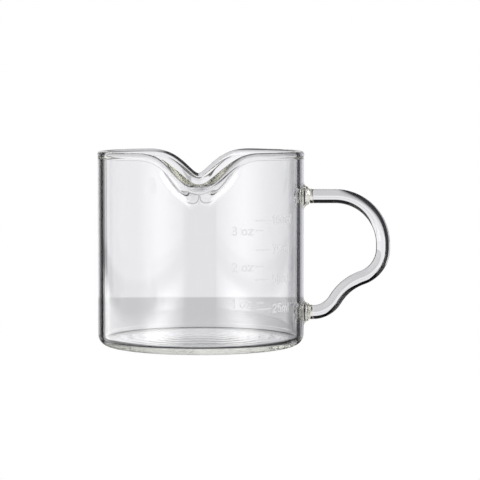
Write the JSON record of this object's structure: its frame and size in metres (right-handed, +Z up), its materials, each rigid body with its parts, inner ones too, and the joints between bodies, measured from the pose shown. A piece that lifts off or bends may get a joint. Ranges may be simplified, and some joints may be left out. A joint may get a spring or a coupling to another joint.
{
  "type": "glass measuring cup",
  "caption": "Clear glass measuring cup with two opposite V-shaped pouring spouts, a looped glass rod handle sealed to the wall, and a printed millilitre and ounce scale.",
  "frame": {"origin": "on the cup's axis, at the plane the base rests on", "axes": "+Z up along the cup's axis, -Y towards the front spout beside the printed scale, +X towards the handle"},
  "size_m": [0.0909, 0.0746, 0.0603],
  "materials": {
    "glass": "clear, fire-polished",
    "print": "baked white enamel, satin"
  },
  "bodies": {
    "root": {"cup_body": "glass", "handle": "glass", "upper_handle_seal": "glass", "lower_handle_seal": "glass", "ml_ticks": "print", "ml_labels": "print", "oz_ticks": "print", "oz_labels": "print"}
  },
  "joints": []
}
